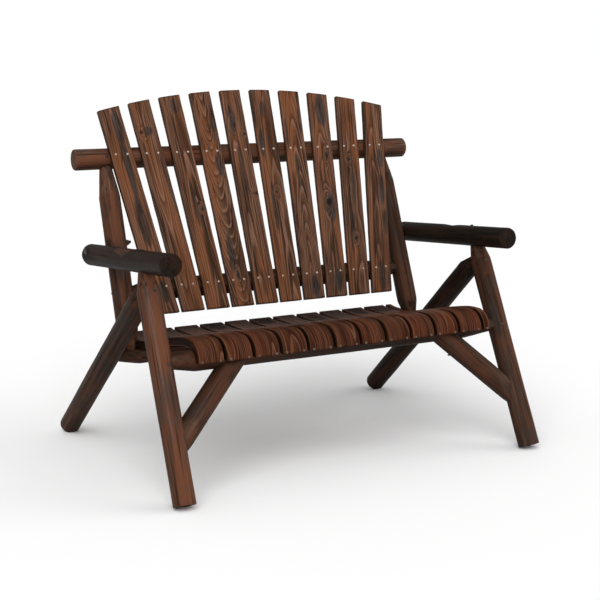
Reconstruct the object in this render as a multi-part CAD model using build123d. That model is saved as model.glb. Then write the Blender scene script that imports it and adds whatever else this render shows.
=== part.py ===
"""Garden bench of round logs with a fanned slat back and a contoured slat seat.

Millimetres. +X runs across the bench, +Y points to the rear and +Z up; the front faces -Y.
The origin lies on the ground, under the middle of the bench's bounding box.
"""

from build123d import *
from math import atan2, cos, sin, sqrt
import os

os.makedirs("parts", exist_ok=True)

# ---------------------------------------------------------------- driving dimensions: logs
LOG_R = 29.2                # radius of the frame's logs
REAR_RAIL_R = 28.5
TENON_R = 15.0              # radius of a tenon in its mortise
SMALL_TENON_R = 12.0
NECK_R = 18.0               # radius where a tapered end meets its neighbour
END_CHAMFER = 2.0           # worn edge of a square-cut log end
FIT = 0.25                  # clearance round a tenon and in a coped joint

FRONT_FOOT = (525.0, -396.0, 9.2)        # centre of the front foot's end face
FRONT_LEG_TOP = (512.3, -139.6, 568.6)   # the front leg's axis at the armrest's axis
REAR_FOOT = (526.5, 404.0, 19.0)         # centre of the rear foot's end face
REAR_LEG_TOP = (509.0, -164.5, 513.7)    # the rear leg's axis at the front leg's axis
ARM_FRONT = (507.0, -300.5, 580.8)       # centre of the armrest's front end face
ARM_REAR = (512.5, 225.0, 541.6)         # centre of the armrest's rear end face
POST_FOOT = (457.5, 89.5, 272.5)         # lower end of the back post's axis
POST_TOP = (447.5, 278.5, 796.6)         # the back post's axis at the upper rail's axis
RAIL_HALF = 535.5                        # half length of the upper back rail
LOWER_RAIL_DROP = 377.0                  # upper to lower back rail, along the posts
FRONT_RAIL_YZ = (-249.0, 330.6)
REAR_RAIL_YZ = (97.0, 281.5)
REAR_RAIL_FLAT_Z = 295.0                 # planed top of the rear seat rail
SEAT_TENON_END = 529.0                   # how far out the seat rails' tenons reach
GROUND_Z = 1.2                           # the feet are worn level at this height
BRACE_FOOT_Z = 136.0                     # height where the brace meets the front leg's axis
BRACE_RAIL_X = 308.5                     # where the brace meets the front seat rail's axis
BRACE_FLAT_LENGTH = 88.0                 # the flat hewn on the front of the brace's foot
BRACE_FLAT_LOW = 4.0                     # how far from the brace's axis the flat starts
BRACE_FLAT_FACING = (0.0, -0.9, 0.43)

# the hewn notch on the armrest: distances along it from its front end
NOTCH_START = 221.0
NOTCH_DEEPEST = 249.0
NOTCH_END = 331.0
NOTCH_DEPTH = 8.0
NOTCH_TILT = 24.0                        # degrees from the top towards the outer side

# ---------------------------------------------------------------- driving dimensions: slats
BACK_SLATS = 10
BACK_SLAT_THICK = 13.0
BACK_SLAT_TOP_W = 63.0
BACK_SLAT_BOTTOM_W = 67.0
BACK_PITCH_BOTTOM = 77.1                 # slat spacing along the bottom edge
BACK_FAN = 0.0315                        # growth of that spacing per millimetre up the back
BACK_BOTTOM = -452.0                     # bottom edge, measured up the back from the upper rail
BACK_APEX = 180.0                        # top of the common arc, measured the same way
BACK_ARC_R = 1955.0
SLAT_CHAMFER = 0.8

SEAT_SLATS = 11
SEAT_SLAT_W = 69.6
SEAT_PITCH = 79.2
SEAT_FIRST_X = -402.8                    # middle of the first seat slat
SEAT_THICK = 22.0
FILLER_W = 19.0                          # the narrow last slat
SEAT_REST = 0.3                          # between the front rail and the slats rolled over it
SEAT_FRONT_END_Z = 328.0
SEAT_TOP_KNOTS = [(-204.0, 380.3), (-115.0, 363.5), (-25.0, 343.0), (45.0, 324.8),
                  (105.0, 317.8), (166.0, 316.8), (203.0, 320.5)]
BATTEN_DEPTH = 36.0
BATTEN_HEIGHT = 22.0
BATTEN_TOP_Z = 294.5
BATTEN_X = (-432.0, 446.0)
POST_GAP = 1.5                           # between a scribed seat slat and the back post

# ---------------------------------------------------------------- driving dimensions: fasteners
NAIL = dict(length=40.0, shank_r=1.5, head_r=3.4, head_h=1.6)
SCREW = dict(shank_r=2.5, head_r=5.5, head_h=3.0)
SCREW_LENGTHS = dict(armrest_screws=60.0, front_rail_screws=44.0, rear_rail_screws=44.0,
                     leg_joint_screws=60.0, brace_screws=75.0, upper_rail_screws=46.0,
                     lower_rail_screws=60.0, post_foot_screws=34.0)
UPPER_SCREW_X = 451.5                    # just outside the first and the last back slat
BRACE_SCREW_BACK = 48.0                  # from the brace's upper end, along its axis
HOLE_PLAY = 0.2
SPOT_FACE_PLAY = 0.6                     # the seat cut round a screw head is this much wider
SPOT_FACE_DEPTH = 14.0
BACK_NAIL_HALF = 17.0                    # nails stand this far each side of a back slat's middle
SEAT_NAIL_HALF = 25.0
SEAT_NAIL_Z = 333.5                      # height of the front row
SEAT_NAIL_Y = 166.0                      # depth of the rear row
BOLT_OUTER = (540.5, 195.0, 555.0)       # bolt axis at the armrest's outer side
BOLT_TIP = (409.0, 195.0, 573.5)
BOLT_R = 4.0
BOLT_HEAD = (10.0, 4.5)                  # radius and height
WASHER = (9.5, 1.6)                      # radius and thickness
NUT = (13.0, 6.5)                        # width across flats and height


# ---------------------------------------------------------------- points and lines
def on_side(point, side):
    """The point on the right (side 1) or the left (side -1) of the bench."""
    x, y, z = point
    return Vector(side * x, y, z)


def direction(start, end):
    return (Vector(*end) - Vector(*start)).normalized()


def distance(start, end):
    return (Vector(*end) - Vector(*start)).length


def at_height(start, end, z):
    """The point at height z on the line from start to end."""
    heading = direction(start, end)
    return Vector(*start) + heading * ((z - start[2]) / heading.Z)


def log_surface(axis_point, axis, heading, radius):
    """Where a line from a log's axis along heading comes out of the log."""
    heading = heading.normalized()
    across = (heading - axis * heading.dot(axis)).length
    return axis_point + heading * (radius / across)


# ---------------------------------------------------------------- solids that repeat
def turned(start, end, stations, grow=0.0):
    """A log turned about the line from start to end.

    stations are (distance from start, radius) pairs; grow fattens the log for a mortise.
    """
    rows = [[radius + grow, along] for along, radius in stations]
    rows[0][1] -= grow
    rows[-1][1] += grow
    outline = [(0, rows[0][1])] + [tuple(row) for row in rows] + [(0, rows[-1][1])]
    profile = make_face(Plane.XZ * Polyline(*outline, close=True))
    axis = Vector(*end) - Vector(*start)
    return Plane(origin=Vector(*start), z_dir=axis) * revolve(profile, Axis.Z)


def square_end(radius):
    """Stations of a square-cut log end with a worn edge."""
    return [(0.0, radius - END_CHAMFER), (END_CHAMFER, radius)]


def both_ends(stations, length):
    """The stations followed by their mirror image, for a log alike at both ends."""
    return stations + [(length - along, radius) for along, radius in reversed(stations)]


def pin(at, heading, length, shank_r, head_r, head_h):
    """A nail or screw driven along heading, its domed head standing on the point at."""
    dome_r = (head_r**2 + head_h**2) / (2 * head_h)
    dome = Pos(0, 0, head_h - dome_r) * Sphere(dome_r)
    head = dome & (Pos(0, 0, head_h / 2) * Cylinder(head_r, head_h))
    shank = Pos(0, 0, -length / 2) * Cylinder(shank_r, length)
    return Plane(origin=at, z_dir=heading * -1) * (head + shank)


def drill(at, heading, length, shank_r, seat_r):
    """The hole for a pin's shank, opening into a spot face of radius seat_r under its head."""
    depth = length + HOLE_PLAY
    hole = Pos(0, 0, -depth / 2 + 1) * Cylinder(shank_r + HOLE_PLAY, depth + 2)
    spot_face = Pos(0, 0, SPOT_FACE_DEPTH / 2) * Cylinder(seat_r, SPOT_FACE_DEPTH)
    return Plane(origin=at, z_dir=heading * -1) * (hole + spot_face)


def nails(rows):
    return [pin(at, heading, **NAIL) for at, heading in rows]


def nail_holes(rows):
    seat_r = NAIL["head_r"] + HOLE_PLAY
    return [drill(at, heading, NAIL["length"], NAIL["shank_r"], seat_r) for at, heading in rows]


def screws(rows):
    return [pin(at, heading, length, **SCREW) for at, heading, length in rows]


def screw_holes(rows):
    seat_r = SCREW["head_r"] + SPOT_FACE_PLAY
    return [drill(at, heading, length, SCREW["shank_r"], seat_r) for at, heading, length in rows]


# ---------------------------------------------------------------- the back's own plane
post_axis = direction(POST_FOOT, POST_TOP)
LEAN = atan2(post_axis.Y, post_axis.Z)
INTO_BACK = Vector(0, cos(LEAN), -sin(LEAN))     # from the sitter into the slats


def back_point(x, up, out):
    """A point x across, up along the back from the upper rail's axis and out towards the sitter."""
    along = Vector(0, sin(LEAN), cos(LEAN))
    return Vector(x, POST_TOP[1], POST_TOP[2]) + along * up - INTO_BACK * out


def slat_middle_x(index, up):
    place = index - (BACK_SLATS - 1) / 2
    return place * (BACK_PITCH_BOTTOM + BACK_FAN * (up - BACK_BOTTOM))


def arc_height(x):
    return BACK_APEX - BACK_ARC_R + sqrt(BACK_ARC_R**2 - x**2)


def back_slat(index):
    """One straight slat that narrows a little upwards, its top cut to the common arc."""
    top_middle = slat_middle_x(index, arc_height(slat_middle_x(index, BACK_APEX)))
    low_middle = slat_middle_x(index, BACK_BOTTOM)
    top_left = top_middle - BACK_SLAT_TOP_W / 2
    top_right = top_middle + BACK_SLAT_TOP_W / 2
    outline = [(low_middle - BACK_SLAT_BOTTOM_W / 2, BACK_BOTTOM),
               (low_middle + BACK_SLAT_BOTTOM_W / 2, BACK_BOTTOM),
               (top_right, arc_height(top_right)), (top_left, arc_height(top_left))]
    face = Plane(origin=back_point(0, 0, LOG_R), x_dir=(1, 0, 0), z_dir=INTO_BACK * -1)
    slat = extrude(face * make_face(Polyline(*outline, close=True)), BACK_SLAT_THICK)
    return chamfer(slat.edges(), SLAT_CHAMFER)


def back_nail_row(up):
    rows = []
    for index in range(BACK_SLATS):
        middle = slat_middle_x(index, up)
        for side in (-1, 1):
            at = back_point(middle + side * BACK_NAIL_HALF, up, LOG_R + BACK_SLAT_THICK)
            rows.append((at, INTO_BACK))
    return rows


# ---------------------------------------------------------------- logs of the frame
LEG_LENGTH = distance(FRONT_FOOT, FRONT_LEG_TOP)
REAR_LEG_LENGTH = distance(REAR_FOOT, REAR_LEG_TOP)
POST_LENGTH = distance(POST_FOOT, POST_TOP)
ARM_LENGTH = distance(ARM_FRONT, ARM_REAR)
BRACE_FOOT = at_height(FRONT_FOOT, FRONT_LEG_TOP, BRACE_FOOT_Z)
BRACE_HEAD = Vector(BRACE_RAIL_X, *FRONT_RAIL_YZ)
BRACE_LENGTH = (BRACE_HEAD - BRACE_FOOT).length
LOWER_RAIL_AXIS = back_point(0, -LOWER_RAIL_DROP, 0)
LOWER_RAIL_END = 466.0


def front_leg(side, grow=0.0):
    shoulder, taper, tenon_end = LEG_LENGTH - LOG_R, 42.0, LEG_LENGTH + 8.0
    stations = square_end(LOG_R) + [(shoulder - taper, LOG_R), (shoulder - 2, NECK_R + 1),
                                    (shoulder, TENON_R), (tenon_end, TENON_R)]
    return turned(on_side(FRONT_FOOT, side), on_side(FRONT_LEG_TOP, side), stations, grow)


def rear_leg(side, grow=0.0):
    shoulder, taper, tenon_end = REAR_LEG_LENGTH - LOG_R + 4.0, 36.0, REAR_LEG_LENGTH + 2.0
    stations = square_end(LOG_R) + [(shoulder - taper, LOG_R), (shoulder, NECK_R - 1),
                                    (shoulder + 1, TENON_R), (tenon_end, TENON_R)]
    return turned(on_side(REAR_FOOT, side), on_side(REAR_LEG_TOP, side), stations, grow)


def back_post(side, grow=0.0):
    low, low_taper = 30.0, 48.0      # the shoulder stands on the rail's planed top
    high, high_taper, tenon_end = POST_LENGTH - LOG_R, 74.0, POST_LENGTH + 8.0
    stations = [(0.0, SMALL_TENON_R), (low, SMALL_TENON_R), (low + 1, NECK_R - 1),
                (low + low_taper, LOG_R), (high - high_taper, LOG_R), (high - 1, NECK_R),
                (high, TENON_R), (tenon_end, TENON_R)]
    return turned(on_side(POST_FOOT, side), on_side(POST_TOP, side), stations, grow)


def armrest(side):
    stations = both_ends(square_end(LOG_R), ARM_LENGTH)
    return turned(on_side(ARM_FRONT, side), on_side(ARM_REAR, side), stations)


def cross_log(half, y, z, stations, grow=0.0):
    """A log across the bench; its stations count from the left end."""
    return turned((-half, y, z), (half, y, z), stations, grow)


def upper_back_rail():
    return cross_log(RAIL_HALF, POST_TOP[1], POST_TOP[2], both_ends(square_end(LOG_R), 2 * RAIL_HALF))


def lower_back_rail(grow=0.0):
    neck, taper, end = 428.0, 378.0, LOWER_RAIL_END
    stations = [(0.0, SMALL_TENON_R), (end - neck, SMALL_TENON_R),
                (end - neck + 1, NECK_R - 2), (end - taper, LOG_R)]
    return cross_log(end, LOWER_RAIL_AXIS.Y, LOWER_RAIL_AXIS.Z, both_ends(stations, 2 * end), grow)


def front_seat_rail(grow=0.0):
    """The hand-cut tapers differ: the right one is longer."""
    end, neck, left_taper, right_taper = SEAT_TENON_END, 490.0, 428.0, 392.0
    stations = [(0.0, TENON_R), (end - neck, TENON_R), (end - neck + 1, NECK_R), (end - left_taper, LOG_R),
                (end + right_taper, LOG_R), (end + neck - 1, NECK_R), (end + neck, TENON_R),
                (2 * end, TENON_R)]
    return cross_log(end, *FRONT_RAIL_YZ, stations, grow)


def rear_seat_rail(grow=0.0):
    end, neck, taper = SEAT_TENON_END, 492.0, 437.0
    stations = [(0.0, TENON_R), (end - neck, TENON_R),
                (end - neck + 1, NECK_R - 1), (end - taper, REAR_RAIL_R)]
    return cross_log(end, *REAR_RAIL_YZ, both_ends(stations, 2 * end), grow)


def brace_tenon(side, grow=0.0):
    stations = [(0.0, SMALL_TENON_R), (2 * LOG_R, SMALL_TENON_R)]
    return turned(on_side(BRACE_FOOT, side), on_side(BRACE_HEAD, side), stations, grow)


def brace_flat(side):
    """The wood hewn off the front of the brace's foot, so that it stays behind the leg's face."""
    axis = (on_side(BRACE_HEAD, side) - on_side(BRACE_FOOT, side)).normalized()
    facing = Vector(*BRACE_FLAT_FACING)
    facing = (facing - axis * facing.dot(axis)).normalized()
    outline = [(0.0, BRACE_FLAT_LOW), (BRACE_FLAT_LENGTH, LOG_R), (BRACE_FLAT_LENGTH, 2 * LOG_R),
               (-LOG_R, 2 * LOG_R), (-LOG_R, BRACE_FLAT_LOW)]
    plane = Plane(origin=on_side(BRACE_FOOT, side), x_dir=axis, z_dir=axis.cross(facing))
    return extrude(plane * make_face(Polyline(*outline, close=True)), 2 * LOG_R, both=True)


def seat_brace(side):
    """A log coped round the front leg below and the front seat rail above."""
    stations = [(0.0, LOG_R), (BRACE_LENGTH, LOG_R)]
    barrel = turned(on_side(BRACE_FOOT, side), on_side(BRACE_HEAD, side), stations)
    barrel -= brace_flat(side)
    coped = barrel - front_leg(side, FIT) - front_seat_rail(FIT) - above_brace_head()
    return coped.solids().sort_by(SortBy.VOLUME)[-1] + brace_tenon(side)


def arm_notch(side):
    """The wedge cut away for the hewn notch: a steep front wall and a long ramp behind it."""
    wedge = [(NOTCH_START, LOG_R + 1), (NOTCH_DEEPEST, LOG_R - NOTCH_DEPTH), (NOTCH_END, LOG_R + 1)]
    start, end = on_side(ARM_FRONT, side), on_side(ARM_REAR, side)
    across = Vector(side, 0, 0)
    along = (end - start).normalized()
    up = along.cross(across).normalized() * -side
    leaned = Plane(origin=start, x_dir=along, z_dir=along.cross(up)).rotated((NOTCH_TILT * side, 0, 0))
    return extrude(leaned * make_face(Polyline(*wedge, close=True)), 2 * LOG_R, both=True)


def under_ground():
    """Everything below the level the feet are worn to."""
    width, height = 2000.0, 100.0
    return Pos(0, 0, GROUND_Z - height / 2) * Box(width, width, height)


def above_rear_flat():
    """The wood planed off the rear seat rail's top."""
    length, height = 968.0, 2 * REAR_RAIL_R
    return Pos(0, REAR_RAIL_YZ[0], REAR_RAIL_FLAT_Z + height / 2) * Box(length, 3 * REAR_RAIL_R, height)


def above_brace_head():
    """Space kept free under the rolled front ends of the seat slats."""
    length, depth, height, gap = 1000.0, 200.0, 100.0, 2.0
    low = SEAT_FRONT_END_Z - gap
    return Pos(0, FRONT_RAIL_YZ[0], low + height / 2) * Box(length, depth, height)


# ---------------------------------------------------------------- seat
SEAT_ROLL_R = LOG_R + SEAT_REST + SEAT_THICK     # outer radius of the rolled front edge


def seat_edges(depth):
    """The slat's side profile this far under its top, from the front end to the rear."""
    radius = SEAT_ROLL_R - depth
    y, z = FRONT_RAIL_YZ
    low, bend, crown = (y - radius, SEAT_FRONT_END_Z), (y - radius, z), (y, z + radius)
    front = Line(low, bend)
    roll = RadiusArc(bend, crown, radius)
    rear = [(knot_y, knot_z - depth) for knot_y, knot_z in SEAT_TOP_KNOTS]
    top = Spline(crown, *rear, tangents=[(1, 0), (1, 0.13)])
    return [front, roll, top]


def seat_slat(x_low, x_high):
    """A contoured slat: rolled over the front rail, hollow in the middle, rising at the rear."""
    upper, lower = seat_edges(0.0), seat_edges(SEAT_THICK)
    front = Line(lower[0] @ 0, upper[0] @ 0)
    rear = Line(upper[2] @ 1, lower[2] @ 1)
    side_plane = Plane(origin=(x_low, 0, 0), x_dir=(0, 1, 0), z_dir=(1, 0, 0))
    side_face = side_plane * make_face([front] + upper + [rear] + lower)
    return extrude(side_face, x_high - x_low)


def seat_slat_x(index):
    middle = SEAT_FIRST_X + index * SEAT_PITCH
    return middle - SEAT_SLAT_W / 2, middle + SEAT_SLAT_W / 2


FILLER_X = (seat_slat_x(SEAT_SLATS)[0], seat_slat_x(SEAT_SLATS)[0] + FILLER_W)
seat_nail_x = []
for slat_index in range(SEAT_SLATS):
    slat_middle = sum(seat_slat_x(slat_index)) / 2
    seat_nail_x.append([slat_middle - SEAT_NAIL_HALF, slat_middle + SEAT_NAIL_HALF])
seat_nail_x.append([sum(FILLER_X) / 2])
seat_top_at_nail = dict(SEAT_TOP_KNOTS)[SEAT_NAIL_Y]
front_nails = [[(Vector(x, FRONT_RAIL_YZ[0] - SEAT_ROLL_R, SEAT_NAIL_Z), Vector(0, 1, 0)) for x in row]
               for row in seat_nail_x]
rear_nails = [[(Vector(x, SEAT_NAIL_Y, seat_top_at_nail), Vector(0, 0, -1)) for x in row]
              for row in seat_nail_x]

# ---------------------------------------------------------------- screws, as (point, heading, length)
X_AXIS = Vector(1, 0, 0)
SIDES = (("left", -1), ("right", 1))
screw_rows = {name: [] for name in SCREW_LENGTHS}


def add_screw(name, at, heading):
    screw_rows[name].append((at, heading, SCREW_LENGTHS[name]))


for _, side in SIDES:
    leg_axis = direction(on_side(FRONT_FOOT, side), on_side(FRONT_LEG_TOP, side))
    rear_axis = direction(on_side(REAR_FOOT, side), on_side(REAR_LEG_TOP, side))
    arm_axis = direction(on_side(ARM_FRONT, side), on_side(ARM_REAR, side))
    side_post_axis = direction(on_side(POST_FOOT, side), on_side(POST_TOP, side))
    brace_axis = (on_side(BRACE_HEAD, side) - on_side(BRACE_FOOT, side)).normalized()

    at = log_surface(on_side(FRONT_LEG_TOP, side), arm_axis, leg_axis, LOG_R)
    add_screw("armrest_screws", at, leg_axis * -1)

    out = Vector(-0.29 * side, -0.957, 0).normalized()
    leg_point = on_side(at_height(FRONT_FOOT, FRONT_LEG_TOP, FRONT_RAIL_YZ[1] + 3), side)
    at = log_surface(leg_point, leg_axis, out, LOG_R)
    add_screw("front_rail_screws", at, out * -1)

    out = Vector(0, 0.66, 0.75).normalized()
    leg_point = on_side(at_height(REAR_FOOT, REAR_LEG_TOP, REAR_RAIL_YZ[1]), side)
    at = log_surface(leg_point, rear_axis, out, LOG_R)
    add_screw("rear_rail_screws", at, out * -1)

    out = Vector(0, -1, -0.2).normalized()
    at = log_surface(on_side(REAR_LEG_TOP, side), leg_axis, out, LOG_R)
    add_screw("leg_joint_screws", at, out * -1)

    brace_point = on_side(BRACE_HEAD, side) - brace_axis * BRACE_SCREW_BACK
    at = log_surface(brace_point, brace_axis, Vector(0, 0, -1), LOG_R)
    add_screw("brace_screws", at, Vector(0, 0, 1))

    at = log_surface(Vector(side * UPPER_SCREW_X, *POST_TOP[1:]), X_AXIS, INTO_BACK * -1, LOG_R)
    add_screw("upper_rail_screws", at, INTO_BACK)

    post_point = on_side(at_height(POST_FOOT, POST_TOP, LOWER_RAIL_AXIS.Z), side)
    at = log_surface(post_point, side_post_axis, X_AXIS * side, LOG_R)
    add_screw("lower_rail_screws", at, X_AXIS * -side)

    rail_point = Vector(side * POST_FOOT[0], *REAR_RAIL_YZ)
    at = log_surface(rail_point, X_AXIS, Vector(0, 1, 0), REAR_RAIL_R - 3)
    add_screw("post_foot_screws", at, Vector(0, -1, 0))


def side_screws(name, side):
    """The screw of a pair on this side, as a one-row list."""
    return screw_holes([screw_rows[name][0 if side < 0 else 1]])


# ---------------------------------------------------------------- armrest bolts
def bolt_plane(side, along):
    """A plane across the bolt's axis, this far from its outer end."""
    heading = direction(on_side(BOLT_OUTER, side), on_side(BOLT_TIP, side))
    return Plane(origin=on_side(BOLT_OUTER, side) + heading * along, x_dir=(0, 1, 0), z_dir=heading)


BOLT_LENGTH = distance(BOLT_OUTER, BOLT_TIP)
BOLT_HEAD_AT = 0.5                       # from BOLT_OUTER to the underside of the head
WASHER_AT = 118.5                        # from BOLT_OUTER to the washer's outer face


def arm_bolt(side):
    head_r, head_h = BOLT_HEAD
    dome_r = (head_r**2 + head_h**2) / (2 * head_h)
    dome = Pos(0, 0, dome_r - head_h) * Sphere(dome_r)
    head = dome & (Pos(0, 0, -head_h / 2) * Cylinder(head_r, head_h))
    shank = Pos(0, 0, (BOLT_LENGTH - BOLT_HEAD_AT) / 2) * Cylinder(BOLT_R, BOLT_LENGTH - BOLT_HEAD_AT)
    return bolt_plane(side, BOLT_HEAD_AT) * (head + shank)


def bolt_hole(side):
    """The bolt's hole through armrest and post, with a spot face under its head and its washer."""
    bore = Pos(0, 0, BOLT_LENGTH / 2) * Cylinder(BOLT_R + FIT, BOLT_LENGTH + 10)
    head_seat = Cylinder(BOLT_HEAD[0] + SPOT_FACE_PLAY, SPOT_FACE_DEPTH)
    washer_seat = Cylinder(WASHER[0] + SPOT_FACE_PLAY, SPOT_FACE_DEPTH)
    outer = Pos(0, 0, BOLT_HEAD_AT - SPOT_FACE_DEPTH / 2) * head_seat
    inner = Pos(0, 0, WASHER_AT + SPOT_FACE_DEPTH / 2) * washer_seat
    return bolt_plane(side, 0) * (bore + outer + inner)


def arm_washer(side):
    radius, thick = WASHER
    disc = Cylinder(radius, thick) - Cylinder(BOLT_R + FIT, thick)
    return bolt_plane(side, WASHER_AT + thick / 2) * disc


def arm_nut(side):
    flats, height = NUT
    blank = extrude(RegularPolygon(flats / 2, 6, major_radius=False), height)
    hole = Pos(0, 0, height / 2) * Cylinder(BOLT_R + HOLE_PLAY, height)
    return bolt_plane(side, WASHER_AT + WASHER[1]) * (blank - hole)


# ---------------------------------------------------------------- the pieces
parts = {}
for name, side in SIDES:
    leg = front_leg(side) - under_ground() - rear_leg(side, FIT) - front_seat_rail(FIT)
    leg -= [brace_tenon(side, FIT)] + side_screws("front_rail_screws", side)
    leg -= side_screws("leg_joint_screws", side) + side_screws("armrest_screws", side)
    parts[f"front_leg_{name}"] = leg

    leg = rear_leg(side) - under_ground() - rear_seat_rail(FIT)
    parts[f"rear_leg_{name}"] = leg - (side_screws("rear_rail_screws", side)
                                       + side_screws("leg_joint_screws", side))

    arm = armrest(side) - front_leg(side, FIT) - arm_notch(side) - bolt_hole(side)
    parts[f"armrest_{name}"] = arm - side_screws("armrest_screws", side)

    post = back_post(side) - lower_back_rail(FIT) - bolt_hole(side)
    parts[f"back_post_{name}"] = post - (side_screws("upper_rail_screws", side)
                                         + side_screws("lower_rail_screws", side)
                                         + side_screws("post_foot_screws", side))

    parts[f"seat_brace_{name}"] = seat_brace(side) - side_screws("brace_screws", side)

posts_in_mortise = [back_post(side, FIT) for _, side in SIDES]
upper_nails = back_nail_row(0.0)
lower_nails = back_nail_row(-LOWER_RAIL_DROP)
all_front_nails = sum(front_nails, [])
all_rear_nails = sum(rear_nails, [])

parts["upper_back_rail"] = (upper_back_rail() - posts_in_mortise - nail_holes(upper_nails)
                            - screw_holes(screw_rows["upper_rail_screws"]))
parts["lower_back_rail"] = (lower_back_rail() - nail_holes(lower_nails)
                            - screw_holes(screw_rows["lower_rail_screws"]))
parts["front_seat_rail"] = (front_seat_rail() - nail_holes(all_front_nails)
                            - screw_holes(screw_rows["front_rail_screws"])
                            - screw_holes(screw_rows["brace_screws"]))
parts["rear_seat_rail"] = (rear_seat_rail() - above_rear_flat() - posts_in_mortise
                           - screw_holes(screw_rows["rear_rail_screws"])
                           - screw_holes(screw_rows["post_foot_screws"]))

for index in range(BACK_SLATS):
    own_nails = upper_nails[2 * index:2 * index + 2] + lower_nails[2 * index:2 * index + 2]
    parts[f"back_slat_{index + 1:02d}"] = back_slat(index) - nail_holes(own_nails)

for index in range(SEAT_SLATS):
    slat = seat_slat(*seat_slat_x(index)) - nail_holes(front_nails[index] + rear_nails[index])
    if index == 0:
        slat -= back_post(-1, POST_GAP)
    parts[f"seat_slat_{index + 1:02d}"] = slat
parts["seat_slat_filler"] = (seat_slat(*FILLER_X) - nail_holes(front_nails[-1] + rear_nails[-1])
                             - back_post(1, POST_GAP))

batten_length = BATTEN_X[1] - BATTEN_X[0]
batten = Pos(sum(BATTEN_X) / 2, SEAT_NAIL_Y, BATTEN_TOP_Z - BATTEN_HEIGHT / 2)
batten *= Box(batten_length, BATTEN_DEPTH, BATTEN_HEIGHT)
parts["rear_seat_batten"] = batten - nail_holes(all_rear_nails)

parts["back_nails_upper"] = Compound(nails(upper_nails))
parts["back_nails_lower"] = Compound(nails(lower_nails))
parts["seat_nails_front"] = Compound(nails(all_front_nails))
parts["seat_nails_rear"] = Compound(nails(all_rear_nails))
for name, rows in screw_rows.items():
    parts[name] = Compound(screws(rows))
parts["armrest_bolts"] = Compound([arm_bolt(side) for _, side in SIDES])
parts["armrest_washers"] = Compound([arm_washer(side) for _, side in SIDES])
parts["armrest_nuts"] = Compound([arm_nut(side) for _, side in SIDES])

# ---------------------------------------------------------------- centre the bench and write it
boxes = [part.bounding_box() for part in parts.values()]
box = boxes[0]
for other in boxes[1:]:
    box = box.add(other)
recentre = Pos(-box.center().X, -box.center().Y, -GROUND_Z)
print("size", box.size, "moved by", recentre.position)
for name, part in parts.items():
    export_step(recentre * part, f"parts/{name}.step")
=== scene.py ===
"""Garden bench of flame-darkened round logs, with a fanned slat back and a contoured slat seat.

Metres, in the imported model's frame: +X across the bench, +Y to the rear, +Z up, the front facing -Y.
The logs and slats are modelled here on the CAD solids' axes, without their mortises and nail holes.
The nails, screws, bolts, washers and nuts are the CAD solids with better materials.
"""

import math

import bpy
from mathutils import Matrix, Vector, noise


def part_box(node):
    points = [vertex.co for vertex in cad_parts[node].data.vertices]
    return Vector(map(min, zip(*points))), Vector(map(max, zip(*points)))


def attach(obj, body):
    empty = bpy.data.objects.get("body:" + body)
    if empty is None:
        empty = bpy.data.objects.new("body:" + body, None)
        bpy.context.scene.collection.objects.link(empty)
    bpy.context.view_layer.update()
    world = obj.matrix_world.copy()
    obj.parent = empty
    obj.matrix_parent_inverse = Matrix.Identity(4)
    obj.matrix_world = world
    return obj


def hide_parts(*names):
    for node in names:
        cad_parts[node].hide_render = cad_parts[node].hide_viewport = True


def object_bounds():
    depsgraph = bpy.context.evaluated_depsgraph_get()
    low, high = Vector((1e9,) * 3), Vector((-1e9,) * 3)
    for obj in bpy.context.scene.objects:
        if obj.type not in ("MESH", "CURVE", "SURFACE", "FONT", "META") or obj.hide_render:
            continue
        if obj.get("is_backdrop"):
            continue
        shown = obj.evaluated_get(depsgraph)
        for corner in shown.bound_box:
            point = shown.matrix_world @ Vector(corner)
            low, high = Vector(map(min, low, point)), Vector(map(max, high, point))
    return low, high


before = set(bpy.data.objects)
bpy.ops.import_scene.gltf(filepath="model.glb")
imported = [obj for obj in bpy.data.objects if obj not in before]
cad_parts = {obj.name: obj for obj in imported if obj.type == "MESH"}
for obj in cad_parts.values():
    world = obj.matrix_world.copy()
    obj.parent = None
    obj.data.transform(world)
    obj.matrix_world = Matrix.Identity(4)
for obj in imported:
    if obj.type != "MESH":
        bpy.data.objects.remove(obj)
cad_low, cad_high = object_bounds()
scene = bpy.context.scene

# ---------------------------------------------------------------- the CAD model's own sizes
GROUND_CUT = 0.0012          # the CAD solids were lowered by this much on to their worn feet
CENTRING = -0.000075         # and moved this much along Y, to the middle of their box
SHIFT = Vector((0, CENTRING, -GROUND_CUT))
LOG_R = 0.0292
REAR_RAIL_R = 0.0285
TENON_R = 0.015
NECK_R = 0.018
FRONT_FOOT = (0.525, -0.396, 0.0092)
FRONT_LEG_TOP = (0.5123, -0.1396, 0.5686)
REAR_FOOT = (0.5265, 0.404, 0.019)
REAR_LEG_TOP = (0.509, -0.1645, 0.5137)
ARM_FRONT = (0.507, -0.3005, 0.5808)
ARM_REAR = (0.5125, 0.225, 0.5416)
POST_FOOT = (0.4575, 0.0895, 0.2725)
POST_TOP = (0.4475, 0.2785, 0.7966)
RAIL_HALF = 0.5355
LOWER_RAIL_DROP = 0.377
LOWER_RAIL_HALF = 0.466
FRONT_RAIL_YZ = (-0.249, 0.3306)
REAR_RAIL_YZ = (0.097, 0.2815)
REAR_RAIL_FLAT_Z = 0.295
REAR_RAIL_FLAT_HALF = (0.478, 0.484)     # the planed top runs out between these distances from the middle
SEAT_RAIL_HALF = 0.529
BRACE_FOOT = (0.522167, -0.338834, 0.136)    # inside the leg, 1 mm from where the CAD brace's axis starts
BRACE_HEAD = (0.3085, -0.249, 0.3306)
BRACE_TOP_Z = 0.326
BRACE_FLAT = (0.088, 0.004)              # length of the flat hewn on its foot, and its least offset
BRACE_FLAT_FACING = Vector((0.0, -0.9, 0.43))
NOTCH = (0.221, 0.249, 0.331)            # start, deepest point and end, along the armrest
NOTCH_DEPTH = 0.008
NOTCH_TILT = math.radians(24)

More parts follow.
